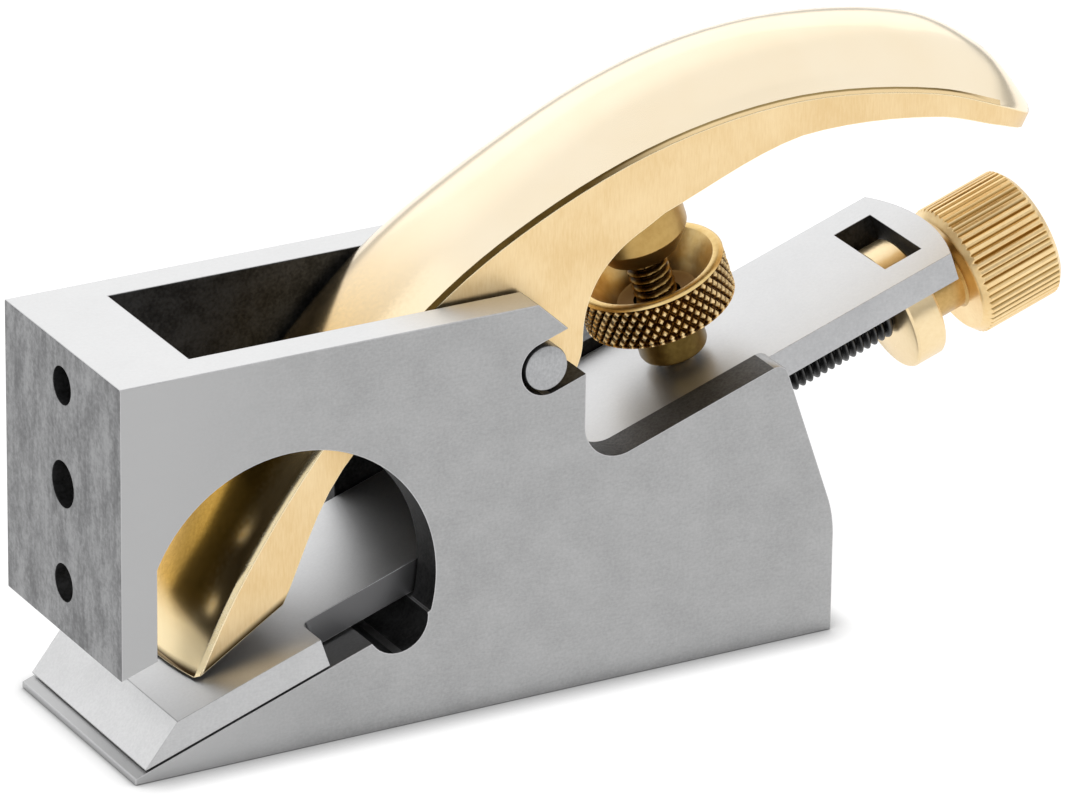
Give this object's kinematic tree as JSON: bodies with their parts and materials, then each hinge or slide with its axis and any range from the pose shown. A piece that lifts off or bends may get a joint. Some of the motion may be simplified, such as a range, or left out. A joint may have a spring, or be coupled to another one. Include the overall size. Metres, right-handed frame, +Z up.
{
  "type": "shoulder plane",
  "caption": "Shoulder plane with an open chisel front: a low-angle blade clamped by a curved brass lever cap with a thumb screw and set by a screw adjuster.",
  "frame": {"origin": "middle of the body's sole, on the plane's centre line", "axes": "+Z up from the sole, +X from the toe and cutting edge to the heel and adjuster, Y across the body"},
  "size_m": [0.1263, 0.0286, 0.07],
  "materials": {
    "plane_body": "ground satin, the sunk faces darkened",
    "blade": "ground and lapped bright",
    "lever_cap": "polished crown, satin sides",
    "pivot_pin": "turned, ends ground flush",
    "thumb_wheel": "turned, diamond knurl on the rim",
    "thumb_stud": "blackened thread",
    "adjuster_rod": "blackened thread",
    "adjuster_collar": "turned bright",
    "adjuster_knob": "turned bright, straight knurl"
  },
  "bodies": {
    "body": {"plane_body": "plane_body"},
    "blade": {"blade": "blade"},
    "adjuster": {"adjuster_rod": "adjuster_rod", "adjuster_collar": "adjuster_collar", "adjuster_knob": "adjuster_knob"},
    "lever_cap": {"lever_cap": "lever_cap", "pivot_pin": "pivot_pin"},
    "thumb_stud": {"thumb_stud": "thumb_stud"},
    "thumb_wheel": {"thumb_wheel": "thumb_wheel"}
  },
  "joints": [
    {"name": "blade_slide", "type": "slide", "parent": "body", "child": "blade", "axis": [-0.9455, 0, -0.3256], "range_m": [-0.004, 0.003]},
    {"name": "adjuster_turn", "type": "hinge", "parent": "blade", "child": "adjuster", "pos_m": [0.05168, 0, 0.02886], "axis": [-0.9455, 0, -0.3256], "range_deg": [-1440, 1080]},
    {"name": "lever_cap_pivot", "type": "hinge", "parent": "body", "child": "lever_cap", "pos_m": [0.00675, 0, 0.03988], "axis": [0, 1, 0], "range_deg": [0, 3.5]},
    {"name": "thumb_screw_travel", "type": "slide", "parent": "lever_cap", "child": "thumb_stud", "axis": [-0.3256, 0, 0.9455], "range_m": [0, 0.00127]},
    {"name": "thumb_wheel_turn", "type": "hinge", "parent": "thumb_stud", "child": "thumb_wheel", "pos_m": [0.02839, 0, 0.04062], "axis": [-0.3256, 0, 0.9455], "range_deg": [0, 456]}
  ],
  "couplings": [
    {"joint": "adjuster_turn", "follows": "blade_slide", "rad_per_m": 6283.2},
    {"joint": "thumb_screw_travel", "follows": "lever_cap_pivot", "m_per_rad": 0.0207},
    {"joint": "thumb_wheel_turn", "follows": "lever_cap_pivot", "ratio": 130.06}
  ]
}
